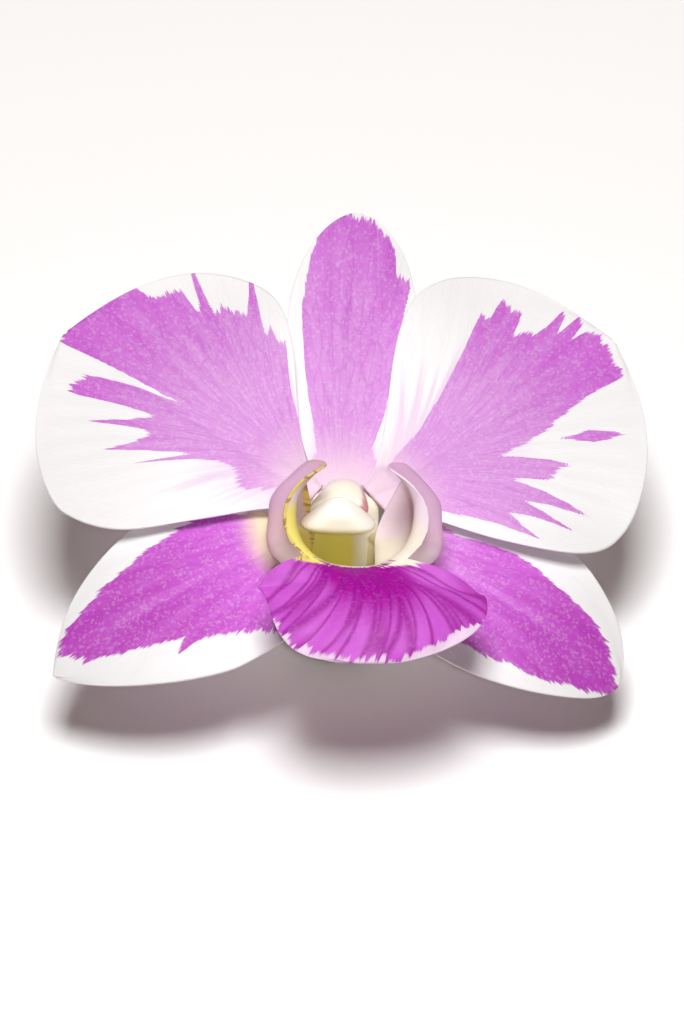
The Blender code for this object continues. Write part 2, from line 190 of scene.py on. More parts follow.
ANTHER_SIZE = (3.1, 1.9, 2.5)
ANTHER_TAPER = 0.6
ANTHER_SQUARE = 0.6
ANTHER_WALL = 0.6
ANTHER_SEAT = 0.4
POLLINIUM_SIZE = (0.36, 0.5, 0.5)
POLLINIUM_PLACES = (-1.3, -0.45, 0.45, 1.3)
POLLINIUM_GAP = 0.3

STALK = (
    ((0.0, 2.2, -3.6), 1.5),
    ((0.0, 3.2, -6.6), 1.35),
    ((0.4, 5.2, -10.4), 1.15),
    ((1.8, 8.6, -14.2), 1.0),
    ((4.2, 12.6, -17.25), 0.95),
    ((7.2, 16.6, -19.64), 1.0),
)


def spline(points, t):
    """A point on the smooth curve through points, at t from 0 to 1 by their number."""
    p = np.array(points, float)
    p = np.vstack((2 * p[0] - p[1], p, 2 * p[-1] - p[-2]))
    x = min(max(t, 0.0), 1.0) * (len(p) - 3)
    i = min(int(x), len(p) - 4)
    f = x - i
    a, b, c, d = p[i:i + 4]
    square, cube = 2 * a - 5 * b + 4 * c - d, 3 * b - a - 3 * c + d
    return 0.5 * (2 * b + (c - a) * f + square * f ** 2 + cube * f ** 3)


class Line:
    """A smooth curve read by its length; what its points hold past their place goes along with it."""

    STEPS = 400
    LOOK = 0.2

    def __init__(self, points):
        steps = np.array([spline(points, k / self.STEPS) for k in range(self.STEPS + 1)])
        gaps = np.linalg.norm(np.diff(steps, axis=0)[:, :3], axis=1)
        self.columns = steps.T
        self.lengths = np.concatenate(((0.0,), np.cumsum(gaps)))
        self.length = self.lengths[-1]
        self.frame = lru_cache(maxsize=None)(self.frame_at)

    def at(self, length):
        return np.array([np.interp(length, self.lengths, column) for column in self.columns])

    def frame_at(self, length):
        """What the line holds at a length, the direction to the right, and the one up out of the line."""
        ahead, behind = min(length + self.LOOK, self.length), max(length - self.LOOK, 0.0)
        along = (self.at(ahead) - self.at(behind))[:3]
        right = np.array((1.0, 0.0, 0.0))
        up = np.cross(along, right)
        return self.at(length), right, up / np.linalg.norm(up)


LIP = Line(LIP_LINE)
COLUMN_LINE = Line([(*place, width, thick) for place, width, thick in COLUMN])


@lru_cache(maxsize=None)
def lip_radius(length):
    """The radius of the lip's trough and cup."""
    trough = mix(LIP_CLAW_RADIUS, LIP_TROUGH_RADIUS, ease(length, 0.0, LIP_TROUGH_AT))
    cup = mix(trough, LIP_CUP_RADIUS, ease(length, *LIP_SPREAD))
    return mix(cup, LIP_MOUTH_RADIUS, ease(length, *LIP_MOUTH_AT))


def rounded(back):
    """A straight slope that starts out level, as the rear edge of a side lobe does from its top."""
    return sqrt(back ** 2 + LIP_SIDE_LOBE_ROUND ** 2) - LIP_SIDE_LOBE_ROUND


def side_lobe(length):
    """How far the side lobes stand out at a length, from 0 at their two ends to 1 at the top."""
    start, top, end = LIP_SIDE_LOBE_AT
    if length < top:
        back = min((top - length) / (top - start), 1.0)
        return 1 - rounded(back) / rounded(1.0)
    return sqrt(max(1 - ((length - top) / (end - top)) ** 2, 0.0))


@lru_cache(maxsize=None)
def lip_half_width(length):
    """Half the lip's width, measured over its curved surface."""
    start, _, end = LIP_SIDE_LOBE_AT
    width = mix(LIP_CLAW, LIP_TROUGH, ease(length, 0.0, LIP_CLAW_END))
    width = mix(width, LIP_SINUS, ease(length, start, end))
    width = mix(width, LIP_FRONT_LOBE, ease(length, *LIP_FRONT_LOBE_AT))
    widest = LIP_FRONT_LOBE_AT[1]
    past = max((length - widest) / (LIP.length - widest), 0.0)
    width *= max(1 - past ** LIP_FRONT_BLUNT, 0.0) ** (1 / LIP_FRONT_BLUNT)
    return mix(width, LIP_SIDE_LOBE, side_lobe(length))


def lip_point(s, w):
    """The lip's surface at s along and w across, from -1 to 1: a trough, a cup of side lobes, a fan."""
    _, top, end = LIP_SIDE_LOBE_AT
    length = s * LIP.length
    middle, right, up = LIP.frame(length)
    arc = w * lip_half_width(length)
    turned = ease(length, LIP_TURN_FROM, LIP_FRONT_LOBE_AT[1])
    bend = mix(1 / lip_radius(length), 1 / LIP_FRONT_RADIUS, turned)
    angle = bend * arc
    flat = abs(angle) < TINY
    out = arc if flat else sin(angle) / bend
    lift = 0.0 if flat else (1 - cos(angle)) / bend
    lean = ease(length, LOBE_LEAN_START, top) * (1 - ease(length, top, end))
    out *= mix(1.0, LIP_CUP_OVAL[0], lean)
    out *= 1 + LIP_CUP_FLOOR * max(cos(angle), 0.0) ** 2 * lean
    lift *= mix(1.0, LIP_CUP_OVAL[1], lean)
    out *= 1 - LOBE_FOLD * ease(lift, *LOBE_FOLD_LIFT) * lean
    sweep = LOBE_SWEEP * ease(abs(arc), *LOBE_SWEEP_ARC) * lean
    return middle + out * right + lift * up + sweep * np.cross(right, up)


def foot_height(depth):
    """The height of the column foot's middle line at a depth behind the face."""
    line = sorted((p[2], p[1]) for p, _, _ in COLUMN[:FOOT_POINTS])
    return float(np.interp(depth, [z for z, _ in line], [y for _, y in line]))


def chin_point(depth, q, hand):
    """The chin's wall at a depth, from q = 0 beside the foot round to q = 1 at the seam underneath."""
    share = (depth - CHIN_DEPTH[0]) / (CHIN_DEPTH[1] - CHIN_DEPTH[0])
    half_width = mix(*CHIN_HALF_WIDTH, share)
    top = foot_height(depth) + CHIN_BACK_RISE
    floor = mix(*CHIN_FLOOR, share)
    start, end = asin(CHIN_BACK_EDGE / half_width), pi - asin(CHIN_SEAM / half_width)
    angle = mix(start, end, q)
    y = (top + floor) / 2 + (top - floor) / 2 * cos(angle)
    return np.array((hand * half_width * sin(angle), y, depth))


def blade_share(s):
    """How far along its blade a lateral sepal is at s, below BLADE_START where it is still the chin."""
    return mix(BLADE_START, 1.0, (s - CHIN_TO_BLADE) / (1 - CHIN_TO_BLADE))


def lateral_point(blade, hand, s, w):
    """A lateral sepal from the chin's tip, along the chin's wall, round its mouth and out to the tip."""
    q = (1 - w) / 2
    if s <= CHIN_SHARE:
        return chin_point(mix(*CHIN_DEPTH, s / CHIN_SHARE), q, hand)
    if s >= CHIN_TO_BLADE:
        return blade.point(blade_share(s), w)
    start, end = chin_point(CHIN_DEPTH[1], q, hand), blade.point(BLADE_START, w)
    reach = np.linalg.norm(end - start)
    forward = np.array((0.0, 0.0, reach))
    outward = blade.point(BLADE_START + BLADE_STEP, w) - end
    outward *= reach / np.linalg.norm(outward)
    t = (s - CHIN_SHARE) / (CHIN_TO_BLADE - CHIN_SHARE)
    return ((1 + 2 * t) * (1 - t) ** 2 * start + t * (1 - t) ** 2 * forward
            + t * t * (3 - 2 * t) * end + t * t * (t - 1) * outward)


# ---- where the colour lies -----------------------------------------------------------------------


class Flare:
    """The purple flare of a blade, by its veins: each leaves the base at an angle and fans outwards.

    reach, faint: (vein angle, how far the colour and its pale fringe run along that vein)
    spots: (vein angle, its start and end along it, half width in degrees), on their own in the white
    spread: how fast veins on the upper and lower side turn away from the midrib
    start, aside: how far behind the blade's base and to its upper side they begin
    """

    def __init__(self, reach, faint=((0.0, 0.0),), spots=(), spread=(1.0, 1.0), start=3.0, aside=0.0):
        self.reach, self.faint = np.array(reach).T, np.array(faint).T
        self.spots, self.spread, self.start, self.aside = spots, spread, start, aside

    def vein(self, blade, along, across):
        """The vein angle at a place, in degrees, and the distance from where the veins begin."""
        share = max((along + self.start) / blade.length, 0.02)
        across -= self.aside
        spread = self.spread[0] if across > 0 else self.spread[1]
        angle = degrees(np.arctan2(across / share ** spread, blade.length))
        return angle, sqrt(max(along + self.start, 0.0) ** 2 + across ** 2)

    def inside(self, table, angle, out):
        return float(np.interp(angle, *table)) - out

    def depth(self, angle, out):
        """How far inside the flare a place is along its vein, in millimetres; below 0 is outside."""
        depth = self.inside(self.reach, angle, out)
        for middle, start, end, wide in self.spots:
            between = (end - start) / 2 - abs(out - (start + end) / 2)
            depth = max(depth, between - abs(angle - middle) / wide * (end - start) / 2)
        return depth


FLARE_LEFT = Flare(
    reach=((-88, 3), (-78, 9), (-64.7, 9.5), (-60, 10), (-54, 12), (-50.5, 15), (-48.6, 20.5), (-47.5, 16.4),
           (-46.6, 14.4), (-44, 17), (-41, 22), (-40, 24.1), (-37, 20.5), (-33.5, 19.5), (-31.4, 19.3),
           (-29.5, 21), (-27.4, 26.3), (-25.5, 22), (-21.1, 19.8), (-19.5, 22), (-18.3, 27), (-17.5, 29.7),
           (-15.6, 29), (-11.4, 28.5), (-10.4, 26), (-9, 22), (-7.8, 19), (-6.8, 18.4), (-6.2, 24), (-6, 33),
           (-2.4, 33.7), (3, 33.5), (7.1, 32.7), (12.9, 31.5), (14.5, 29.5), (16.6, 28.4), (19.5, 28.8),
           (22.8, 27.8), (23.9, 25), (25.6, 24.5), (26.6, 30.5), (27.6, 30), (28.2, 24), (32, 24.3),
           (35.3, 23), (39.5, 22.5), (41, 24), (42.2, 27.9), (43.6, 24), (44.4, 19), (47.3, 19.9),
           (50, 17.5), (53, 17.8), (54, 11.5), (58, 8), (65, 5), (88, 3)),
    faint=((-88, 9), (-78.5, 13), (-72, 12), (-66, 18), (-62, 14), (-40, 18), (0, 22), (45, 22), (56, 14),
           (88, 5)),
    spread=(1.5, 2.0), start=0.0, aside=2.0)
FLARE_RIGHT = Flare(
    reach=((-88, 4), (-83, 8), (-78.5, 13), (-76.2, 18.5), (-74.5, 16), (-72, 14.5), (-69.5, 17),
           (-67.8, 21.9), (-65.5, 18), (-63.5, 16), (-61.2, 19), (-59.6, 23.8), (-58, 21.5), (-55.6, 19.5),
           (-53, 15.2), (-50, 16), (-48.2, 19.3), (-45, 19.8), (-41, 20.5), (-37.7, 22.3), (-36, 19),
           (-34, 15.5), (-32, 15), (-27, 17), (-21.1, 19.7), (-15.1, 22.6), (-12, 24.5), (-9.4, 27),
           (-7.9, 31.4), (-3, 31.5), (0, 32), (4, 32.3), (5.9, 29.8), (6.5, 31.5), (8.4, 32.8),
           (9, 28.9), (10.2, 30.8), (11.6, 31.6), (12.2, 28.2), (14, 27), (16.3, 26.6), (17.7, 25.3),
           (19.5, 29), (21.8, 27.8), (24.9, 29.1), (26.4, 25.5), (29.4, 25.7), (31, 19.5), (33, 14),
           (36, 10), (45, 7), (60, 4)),
    faint=((-88, 8), (-70, 16), (-50, 17), (-20, 20), (33, 22), (36, 14), (38.1, 19.8), (41, 13),
           (45.7, 19.6), (50, 12), (54.7, 17.8), (58, 10), (70, 6)),
    spots=((-24.5, 21.3, 28.6, 2.6),), spread=(1.5, 2.0), start=0.0)
FLARE_DORSAL = Flare(
    reach=((-60, 3), (-19.5, 9), (-17.3, 14), (-13.2, 21.5), (-12.3, 26.7), (-12.4, 29), (-11.3, 30.2),
           (-8.8, 30), (-7.3, 32.8), (-5.9, 33.7), (-2.6, 34.8), (0.8, 35.1), (4.7, 35.2), (7, 33.7),
           (8.8, 31.7), (10.9, 28), (12.8, 23.5), (14.9, 17.4), (17.4, 10.9), (20.6, 8.3), (60, 3)),
    faint=((-60, 6), (-20, 12), (0, 20), (20, 12), (60, 6)))
FLARE_LATERAL_RIGHT = Flare(
    reach=((-80, 11), (-60, 13), (-35, 15), (-24, 17), (-20.4, 19.3), (-15.6, 22.4), (-12, 25.7),
           (-8.9, 27.5), (-3.2, 31), (-0.3, 31.6), (3.6, 30), (8.1, 27.4), (13.2, 22), (19.1, 17.7),
           (22.5, 14.8), (25, 10), (40, 7), (80, 4)))
FLARE_LATERAL_LEFT = Flare(
    reach=((-80, 9), (-60, 11), (-42.3, 13.6), (-31.5, 15.2), (-25, 16.5), (-18, 19), (-16.5, 22.5),
           (-14, 20.5), (-7.8, 24.6), (-2.4, 29), (0.5, 30.1), (3.3, 31.3), (6.6, 29.2), (9.9, 25.7),
           (18.4, 19.6), (25.2, 15.7), (36.7, 12.5), (39.7, 8), (80, 5)))


# ---- meshes --------------------------------------------------------------------------------------

TURN = Euler((radians(FACE_LEAN), 0, 0)).to_matrix() @ Euler((0, radians(FACE_ROLL), 0)).to_matrix()
TURN_ROWS = np.array(TURN)


def to_world(points):
    """Face millimetres to metres as the flower lies; what would go into the table is flat on it."""
    placed = (np.asarray(points) - np.array(CHIN_TIP)) @ TURN_ROWS.T * MM
    placed[:, 2] = np.maximum(placed[:, 2], 0.0)
    return placed


def add_mesh(name, points, faces, fields, materials, node):
    """A smooth-shaded piece with its fields kept at each point, in place of its CAD node."""
    mesh = bpy.data.meshes.new(name)
    mesh.from_pydata(to_world(points), [], faces)
    for field, values in fields.items():
        values = np.asarray(values, float)
        kind = "FLOAT_VECTOR" if values.ndim == 2 else "FLOAT"
        kept = mesh.attributes.new(field, kind, "POINT")
        kept.data.foreach_set("vector" if values.ndim == 2 else "value", values.ravel())
    bm = bmesh.new()
    bm.from_mesh(mesh)
    bmesh.ops.remove_doubles(bm, verts=bm.verts, dist=SAME * MM)
    bm.to_mesh(mesh)
    bm.free()
    mesh.shade_smooth()
    for material in materials:
        mesh.materials.append(material)
    piece = bpy.data.objects.new(name, mesh)
    bpy.context.scene.collection.objects.link(piece)
    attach(piece, "root")
    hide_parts(node)
    return piece


def grid_faces(rows, columns, hand=1, closed=False):
    """The quads of a grid of points kept row by row, closed round or not; hand turns them over."""
    k = np.arange(rows * columns).reshape(rows, columns)
    if closed:
        k = np.hstack((k, k[:, :1]))
    corners = (k[:-1, :-1], k[1:, :-1], k[1:, 1:], k[:-1, 1:])
    return np.stack(corners[::hand], axis=-1).reshape(-1, 4).tolist()


def raised(grid, relief, hand):
    """A grid of points moved along its normals by relief, in millimetres."""
    down, over = np.gradient(grid, axis=0), np.gradient(grid, axis=1)
    normal = hand * np.cross(down, over)
    normal /= np.maximum(np.linalg.norm(normal, axis=-1, keepdims=True), TINY)
    return grid + normal * relief[..., None]


def fields_of(marks, lines, across):
    """What marks(s, w) gives at every place of a grid, each field as an array."""
    marked = [[marks(s, w) for w in across] for s in lines]
    return {key: np.array([[m[key] for m in row] for row in marked]) for key in marked[0][0]}


def flattened(fields):
    return {key: value.reshape(-1, *value.shape[2:]) for key, value in fields.items()}


def add_sheet(name, surface, marks, size, easing, materials, hand=1):
    """A thin piece on surface(s, w), thickest in the middle and thin at its margin.

    marks(s, w) gives its fields at a place: relief and body shape it there, the others colour it.
    """
    rows, columns = size
    lines = 1 - (1 - np.linspace(0, 1, rows)) ** easing
    across = np.linspace(-1, 1, columns)
    grid = np.array([[surface(s, w) for w in across] for s in lines])
    fields = fields_of(marks, lines, across)
    grid = raised(grid, fields.pop("relief"), hand)
    piece = add_mesh(name, grid.reshape(-1, 3), grid_faces(rows, columns, hand), flattened(fields),
                     materials, name)
    group = piece.vertex_groups.new(name="body")
    for k, body in enumerate(piece.data.attributes["body"].data):
        group.add([k], body.value, "REPLACE")
    shell = piece.modifiers.new("Thickness", "SOLIDIFY")
    shell.thickness = TISSUE * MM
    shell.offset = 0.0
    shell.vertex_group = "body"
    shell.thickness_vertex_group = MARGIN_SHARE
    shell.material_offset = 1
    return piece


def add_body(name, surface, marks, size, materials, closed_ends=True):
    """A round piece on surface(t, angle), from one end to the other."""
    rows, columns = size
    lines = np.linspace(0, 1, rows)
    if closed_ends:
        lines = (1 - np.cos(pi * lines)) / 2
    around = np.linspace(0, 2 * pi, columns, endpoint=False)
    grid = np.array([[surface(t, a) for a in around] for t in lines])
    fields = flattened(fields_of(marks, lines, around))
    return add_mesh(name, grid.reshape(-1, 3), grid_faces(rows, columns, -1, True), fields, materials, name)


# ---- materials -----------------------------------------------------------------------------------


def srgb(red, green, blue):
    """A colour given as on screen, 0 to 255, in the linear values that shaders take."""
    def linear(c):
        c /= 255
        return c / 12.92 if c <= 0.04045 else ((c + 0.055) / 1.055) ** 2.4
    return linear(red), linear(green), linear(blue), 1.0


WHITE = srgb(235, 232, 234)
LILAC = srgb(208, 145, 212)
PURPLE = srgb(195, 92, 201)
DEEP = srgb(175, 50, 174)
VEIN = srgb(172, 62, 186)
PALE = srgb(230, 206, 217)
CREAM = srgb(248, 242, 224)
CHIN_CREAM = srgb(238, 230, 176)
BLUSH = srgb(250, 243, 246)
HEM_PINK = srgb(238, 214, 236)
LOBE_PINK = srgb(250, 212, 244)
MAGENTA = srgb(174, 0, 162)
LIP_PURPLE = srgb(208, 92, 212)
DARK_VEIN = srgb(158, 0, 150)
YELLOW_GREEN = srgb(250, 240, 128)
RIM_YELLOW = srgb(238, 220, 120)
SHADE_BROWN = srgb(150, 96, 70)
SHADE_PINK_BROWN = srgb(198, 140, 142)
OLIVE = srgb(150, 152, 62)
STALK_GREEN = srgb(196, 208, 150)


class Shade:
    """A material's nodes, made by calls that each return an output socket."""

    def __init__(self, name, roughness, **settings):
        self.material = bpy.data.materials.new(name)
        self.material.use_nodes = True
        self.tree = self.material.node_tree
        self.shader = self.tree.nodes["Principled BSDF"]
        self.shader.inputs["Roughness"].default_value = roughness
        for socket, value in settings.items():
            self.shader.inputs[socket.replace("_", " ")].default_value = value

    def put(self, value, socket):
        if isinstance(value, bpy.types.NodeSocket):
            self.tree.links.new(value, socket)
        else:
            socket.default_value = value

    def node(self, kind, inputs, **settings):
        made = self.tree.nodes.new("ShaderNode" + kind)
        for key, value in settings.items():
            setattr(made, key, value)
        for key, value in inputs.items():
            self.put(value, made.inputs[key])
        return made

    def field(self, name):
        """A number kept at the points of the mesh."""
        return self.node("Attribute", {}, attribute_name=name).outputs["Fac"]

    def place(self, name, scale=(1.0, 1.0, 1.0)):
        """A place kept at the points of the mesh, stretched by scale."""
        kept = self.node("Attribute", {}, attribute_name=name).outputs["Vector"]
        return self.node("VectorMath", {0: kept, 1: scale}, operation="MULTIPLY").outputs["Vector"]

    def math(self, operation, a, b=0.0):
        return self.node("Math", {0: a, 1: b}, operation=operation).outputs["Value"]

    def noise(self, vector, size, detail=2.0):
        """Noise about 0, up to size / 2 either way."""
        made = self.node("TexNoise", {"Vector": vector, "Scale": 1.0, "Detail": detail})
        return self.math("MULTIPLY", self.math("SUBTRACT", made.outputs["Fac"], 0.5), size)

    def step(self, value, start, end, low=0.0, high=1.0):
        made = self.node("MapRange", {"Value": value, "From Min": start, "From Max": end, "To Min": low,
                                      "To Max": high}, interpolation_type="SMOOTHSTEP")
        return made.outputs["Result"]

    def blend(self, amount, a, b):
        return self.node("Mix", {0: amount, 6: a, 7: b}, data_type="RGBA").outputs[2]

    def net(self, vector, line):
        """1 on the borders between long cells, 0 inside them."""
        made = self.node("TexVoronoi", {"Vector": vector, "Scale": 1.0}, feature="DISTANCE_TO_EDGE")
        return self.step(made.outputs["Distance"], 0.0, line, 1.0, 0.0)

    def cells(self, vector):
        """A value from 0 to 1 for each small cell of the skin."""
        made = self.node("TexVoronoi", {"Vector": vector, "Scale": 1.0})
        return self.node("SeparateColor", {0: made.outputs["Color"]}).outputs[0]

    def bump(self, height, distance, strength=1.0):
        made = self.node("Bump", {"Height": height, "Distance": distance * MM, "Strength": strength})
        self.put(made.outputs["Normal"], self.shader.inputs["Normal"])

    def finish(self, colour, through=0.0):
        """Sets the colour, and lets a share of the light through as thin tissue does."""
        self.put(colour, self.shader.inputs["Base Color"])
        if through:
            glow = self.node("BsdfTranslucent", {"Color": colour})
            both = self.node("MixShader", {0: through, 1: self.shader.outputs[0], 2: glow.outputs[0]})
            self.put(both.outputs[0], self.tree.nodes["Material Output"].inputs["Surface"])
        return self.material


def tissue(name, strength, deep, chin=False):
    """A petal's or sepal's skin: white, with the feathered flare, its veins and its cells, some with painted glints as
    white specks.

    strength: how much of the flare shows; deep: how rich its colour is; chin: whether it goes green there
    """
    s = Shade(name, 0.5, Specular_IOR_Level=0.3)
    ragged = s.math("ADD", s.noise(s.place("vein", (0.7, 0.12, 1.0)), 2.4),
                    s.noise(s.place("vein", (3.0, 0.5, 1.0)), 1.6))
    full = s.step(s.math("ADD", s.field("flare"), ragged), -0.1, 0.3)
    fringe = s.step(s.math("ADD", s.field("faint"), s.math("MULTIPLY", ragged, 3.0)), -1.0, 6.0)
    grain_and_glints = s.cells(s.place("place", (4.0, 4.0, 1.0)))
    mottle = s.noise(s.place("place", (1.6, 1.6, 1.0)), 1.0, 4.0)
    net = s.net(s.place("vein", (0.40, 0.20, 1.0)), 0.08)
    cloud = s.noise(s.place("vein", (0.25, 0.12, 1.0)), 0.9, 3.0)
    rich = s.math("ADD", s.math("ADD", s.field("rich"), deep), s.math("ADD", cloud, s.math("MULTIPLY", mottle, 0.5)))
    purple = s.blend(s.step(rich, 0.0, 1.0), LILAC, PURPLE)
    purple = s.blend(s.step(rich, 0.8, 1.7), purple, DEEP)
    purple = s.blend(s.math("MULTIPLY", net, 0.22), purple, VEIN)
    # painted glints: white specks on some of the skin's cells
    purple = s.blend(s.math("MULTIPLY", s.step(grain_and_glints, 0.6, 1.0), 0.14), purple, WHITE)
    white = s.blend(s.math("MULTIPLY", fringe, 0.38), WHITE, LILAC)
    colour = s.blend(s.math("MULTIPLY", full, strength), white, purple)
    colour = s.blend(s.field("cream"), colour, CHIN_CREAM if chin else PALE)
    if chin:
        colour = s.blend(s.field("chin"), colour, OLIVE)
    s.bump(s.math("ADD", s.math("MULTIPLY", grain_and_glints, 0.5), net), 0.03, 0.5)
    return s.finish(colour, 0.02)


def lip_skin(name, inner):
    """The lip's skin: a veined magenta front lobe, a yellow-green throat and pale side lobes."""
    s = Shade(name, 0.5, Specular_IOR_Level=0.25)
    ragged = s.noise(s.place("fan", (0.16, 0.10, 1.0)), 2.2)
    teeth = s.noise(s.place("fan", (0.5, 0.15, 1.0)), 2.6)
    veins = s.net(s.place("fan", (0.13, 0.05, 1.0)), 0.17)
    grain_and_glints = s.cells(s.place("place", (3.6, 3.6, 1.0)))
    heart = s.math("ADD", s.field("heart"), s.math("MULTIPLY", ragged, 0.35))
    front = s.blend(s.step(heart, 0.0, 0.9), LIP_PURPLE, MAGENTA)
    front = s.blend(s.math("MULTIPLY", veins, 0.75), front, DARK_VEIN)
    # painted glints: pale lilac specks on some of the skin's cells
    front = s.blend(s.math("MULTIPLY", s.step(grain_and_glints, 0.7, 1.0), 0.12), front, LILAC)
    torn = s.math("ADD", s.field("edge"), s.math("MULTIPLY", teeth, 1.7))
    margin = s.step(torn, s.field("hem"), s.math("ADD", s.field("hem"), 0.6))
    front = s.blend(margin, HEM_PINK, front)
    behind = s.blend(s.math("MULTIPLY", s.field("pink"), 0.25 if inner else 0.8), BLUSH, LOBE_PINK)
    behind = s.blend(s.math("MULTIPLY", veins, 0.12), behind, LILAC)
    if inner:
        mottle = s.noise(s.place("place"), 0.3)
        behind = s.blend(s.step(s.math("ADD", s.field("cream"), mottle), 0.1, 0.9), behind, CREAM)
        behind = s.blend(s.step(s.math("ADD", s.field("yellow"), mottle), 0.1, 0.9), behind, YELLOW_GREEN)
        behind = s.blend(s.field("rim"), behind, RIM_YELLOW)
        # painted shade: broken brown dashes along the left rim, in the crease beside the column
        shade_dashes = s.step(s.noise(s.place("place", (1.8, 0.4, 1.0)), 1.0), 0.02, 0.1)
        behind = s.blend(s.math("MULTIPLY", s.math("MULTIPLY", s.field("rim"), shade_dashes), 0.7), behind, SHADE_BROWN)
    start = s.step(s.math("ADD", s.field("front"), s.math("MULTIPLY", teeth, 0.6)), -0.15, 0.25)
    colour = s.blend(start, behind, front)
    s.bump(s.math("ADD", s.math("MULTIPLY", grain_and_glints, 0.6), veins), 0.04, 0.5)
    return s.finish(colour, 0.25 if inner else 0.5)


def column_skin():
    """The column: waxy cream, yellow-green down its foot, with painted shade in pinkish brown on one side beside its
    end.
    """
    s = Shade("column", 0.38, Specular_IOR_Level=0.45, Subsurface_Weight=0.15, Subsurface_Scale=0.0012)
    spread = s.noise(s.place("place", (0.9, 0.9, 0.9)), 0.5)
    colour = s.blend(s.step(s.math("ADD", s.field("foot"), spread), 0.2, 0.8), CREAM, YELLOW_GREEN)
    # painted shade: pinkish brown on one side of the column near its end, beside the lip
    colour = s.blend(s.step(s.math("ADD", s.field("flush"), spread), 0.4, 1.0), colour, SHADE_PINK_BROWN)
    colour = s.blend(s.field("tip"), colour, OLIVE)
    s.bump(s.cells(s.place("place", (3.0, 3.0, 3.0))), 0.02, 0.5)
    return s.finish(colour)


def wax(name, light, dark, roughness, cell, length=1.0):
    """Plain waxy tissue in two shades, with small cells that may be drawn out along the piece."""
    s = Shade(name, roughness, Specular_IOR_Level=0.45, Subsurface_Weight=0.15, Subsurface_Scale=0.0012)
    streak = s.noise(s.place("place", (cell, cell, cell * length)), 2.0, 3.0)
    s.bump(s.cells(s.place("place", (cell * 3, cell * 3, cell * 3 * length))), 0.02, 0.5)
    return s.finish(s.blend(s.step(s.math("ADD", streak, s.field("shade")), 0.0, 1.0), light, dark))


# ---- the pieces ----------------------------------------------------------------------------------

TISSUE = 0.62
MARGIN_SHARE = 0.35
PETAL_GRID = (150, 130)
SEPAL_GRID = (150, 90)
LATERAL_GRID = (190, 96)
LIP_GRID = (260, 170)

FOOT_WING = 1.6
MIDRIB = (0.22, 0.7)
RIBS = (0.03, 46)
FRILL = (0.22, 4.5)

LIP_FRONT_FROM = (20.4, 22.4)
LIP_FAN_FROM = 18.0
LIP_KEELS = (-1.5, 0.0, 1.5)
LIP_KEEL = (0.35, 0.38)
LIP_RUFFLE = (0.45, 2.4)
LIP_PLEATS = (0.09, 20)
FRONT_LENGTHS = np.linspace(LIP.length, LIP_FRONT_LOBE_AT[1], 200)
FRONT_WIDTHS = np.array([lip_half_width(length) for length in FRONT_LENGTHS])


def blade_marks(blade, flare, s, w, pale, rich_from, chin=0.0):
    """The fields of a petal or sepal at a place on its blade."""
    along, across = blade.flat(max(s, 0.0), w)
    angle, out = flare.vein(blade, along, across)
    margin = abs(w)
    deep, wide = MIDRIB
    groove = -deep * np.exp(-(across / wide) ** 2) * ease(s, 0.02, 0.2) * (1 - ease(s, 0.6, 0.95))
    high, often = RIBS
    ribs = high * sin(radians(angle) * often) * ease(out, 3.0, 12.0) * (1 - ease(margin, 0.7, 1.0))
    high, length = FRILL
    frill = high * ease(margin, 0.7, 1.0) * noise.noise(Vector((along / length, w * 2, blade.length)))
    return {
        "place": (along, across, 0.0),
        "vein": (angle, out, 0.0),
        "flare": flare.depth(angle, out),
        "faint": flare.inside(flare.faint, angle, out),
        "rich": ease(out, *rich_from),
        "cream": 0.85 * (1 - ease(out, *pale)),
        "chin": chin,
        "relief": groove + ribs + frill,
        "body": 1 - ease(margin, 0.55, 1.0),
    }


def lateral_marks(blade, flare, hand, rich_from, s, w):
    chin = ease(-lateral_point(blade, hand, s, w)[2], 5.0, 17.0)
    return blade_marks(blade, flare, blade_share(s), w, (5.5, 9.5), rich_from, chin)


def lip_marks(s, w):
    """The fields of the lip at a place: s along it and w across."""
    length = s * LIP.length
    half = lip_half_width(length)
    arc = w * half
    front = length - mix(*LIP_FRONT_FROM, abs(w))
    ends = float(np.interp(abs(arc), FRONT_WIDTHS, FRONT_LENGTHS)) - length
    edge = half - abs(arc)
    if length > LIP_FRONT_LOBE_AT[1]:
        edge = min(edge, ends)
    angle = degrees(np.arctan2(arc, max(length - LIP_FAN_FROM, 1.5)))
    out = sqrt(arc ** 2 + (length - LIP_FAN_FROM) ** 2)
    high, wide = LIP_KEEL
    keels = sum(high * np.exp(-((arc - k) / wide) ** 2) for k in LIP_KEELS)
    keels *= ease(length, 8.0, 12.0) * (1 - ease(length, 16.0, 19.0))
    high, size = LIP_RUFFLE
    ruffle = high * noise.noise(Vector((arc / size, length / size, 3.0))) * (1 - ease(edge, 0.0, 3.5))
    high, often = LIP_PLEATS
    pleats = high * sin(radians(angle) * often) * ease(front, 0.5, 6.0)
    lobe = ease(abs(arc), 4.0, 9.0) * (1 - ease(length, 21.0, 23.0))
    hem = -1.7 + 1.8 * ease(length, 27.0, 32.0) + 2.2 * ease(arc, 5.5, 9.0) * ease(length, 28.0, 31.0)
    low = ease(length, 12.0, 15.0)
    yellow = (1 - ease(arc, 3.5, 6.0)) * (1 - ease(-arc, mix(5.0, 9.0, low), mix(8.0, 13.0, low)))
    yellow *= 1 - 0.9 * ease(length, 18.3, 19.8) * ease(arc, -4.5, -2.5)
    return {
        "place": (arc, length, 0.0),
        "fan": (angle, out, 0.0),
        "front": front,
        "heart": (1 - ease(out, 6.0, 15.5)) * (1 - 0.9 * ease(abs(arc), 2.0, 7.0)),
        "edge": edge,
        "hem": hem,
        "pink": lobe,
        "cream": 1 - ease(abs(arc), 7.0, 12.0),
        "yellow": yellow,
        "rim": (1 - ease(edge, 0.5, 1.3)) * (1 - ease(arc, -4.0, 0.0)),
        "relief": keels + (ruffle + pleats) * ease(length, 20.0, 23.0),
        "body": 1 - ease(abs(w), 0.6, 1.0),
    }


